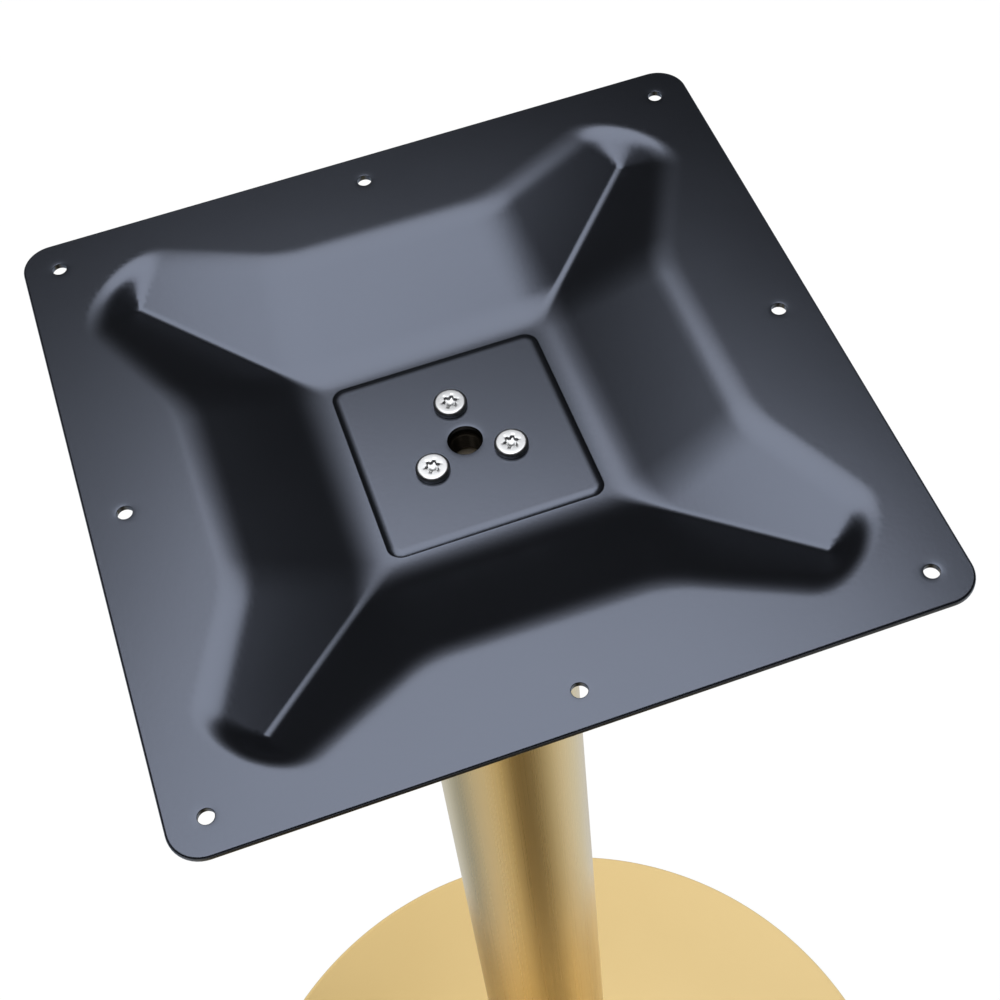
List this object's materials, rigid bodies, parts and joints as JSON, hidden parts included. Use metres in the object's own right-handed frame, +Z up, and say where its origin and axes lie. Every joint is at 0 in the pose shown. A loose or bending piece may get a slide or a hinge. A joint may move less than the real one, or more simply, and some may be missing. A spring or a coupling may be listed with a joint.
{
  "type": "bar table base",
  "caption": "Tall pedestal base for a bar table: square pressed top plate with a star-shaped pan on a round gold column, standing on a flat round weighted foot with levelling glides.",
  "frame": {"origin": "on the floor, under the middle of the column", "axes": "+Z up along the column, +X and +Y along the sides of the square top plate; +Y is away from the viewer of the picture"},
  "size_m": [0.5599, 0.56, 1.05],
  "materials": {
    "powder_black": "satin powder coat",
    "zinc": "bright zinc",
    "brushed_gold": "gold coloured, brushed along the tube",
    "gold_sheet": "gold coloured, satin",
    "passivated_steel": "yellow passivated, turned",
    "primer": "matt primer",
    "nylon": "moulded"
  },
  "bodies": {
    "stand": {"top_plate": "powder_black", "top_screws": "zinc", "column_tube": "brushed_gold", "column_top_flange": "passivated_steel", "column_bottom_flange": "passivated_steel", "base_cover": "gold_sheet", "base_weight": "primer", "base_washers": "zinc", "base_screws": "zinc"},
    "pad_1": {"glide_pad_1": "nylon"},
    "stud_1": {"glide_stud_1": "zinc"},
    "pad_2": {"glide_pad_2": "nylon"},
    "stud_2": {"glide_stud_2": "zinc"},
    "pad_3": {"glide_pad_3": "nylon"},
    "stud_3": {"glide_stud_3": "zinc"},
    "pad_4": {"glide_pad_4": "nylon"},
    "stud_4": {"glide_stud_4": "zinc"}
  },
  "joints": [
    {"name": "glide_1_height", "type": "slide", "parent": "stand", "child": "pad_1", "axis": [0, 0, -1], "range_m": [0, 0.005]},
    {"name": "glide_1_turn", "type": "hinge", "parent": "pad_1", "child": "stud_1", "pos_m": [0.16264, 0.16264, 0.0085], "axis": [0, 0, -1], "range_deg": [0, 1440]},
    {"name": "glide_2_height", "type": "slide", "parent": "stand", "child": "pad_2", "axis": [0, 0, -1], "range_m": [0, 0.005]},
    {"name": "glide_2_turn", "type": "hinge", "parent": "pad_2", "child": "stud_2", "pos_m": [-0.16264, 0.16264, 0.0085], "axis": [0, 0, -1], "range_deg": [0, 1440]},
    {"name": "glide_3_height", "type": "slide", "parent": "stand", "child": "pad_3", "axis": [0, 0, -1], "range_m": [0, 0.005]},
    {"name": "glide_3_turn", "type": "hinge", "parent": "pad_3", "child": "stud_3", "pos_m": [-0.16264, -0.16264, 0.0085], "axis": [0, 0, -1], "range_deg": [0, 1440]},
    {"name": "glide_4_height", "type": "slide", "parent": "stand", "child": "pad_4", "axis": [0, 0, -1], "range_m": [0, 0.005]},
    {"name": "glide_4_turn", "type": "hinge", "parent": "pad_4", "child": "stud_4", "pos_m": [0.16264, -0.16264, 0.0085], "axis": [0, 0, -1], "range_deg": [0, 1440]}
  ],
  "couplings": [
    {"joint": "glide_1_height", "follows": "glide_1_turn", "m_per_rad": 0.00019894},
    {"joint": "glide_2_height", "follows": "glide_2_turn", "m_per_rad": 0.00019894},
    {"joint": "glide_3_height", "follows": "glide_3_turn", "m_per_rad": 0.00019894},
    {"joint": "glide_4_height", "follows": "glide_4_turn", "m_per_rad": 0.00019894}
  ]
}
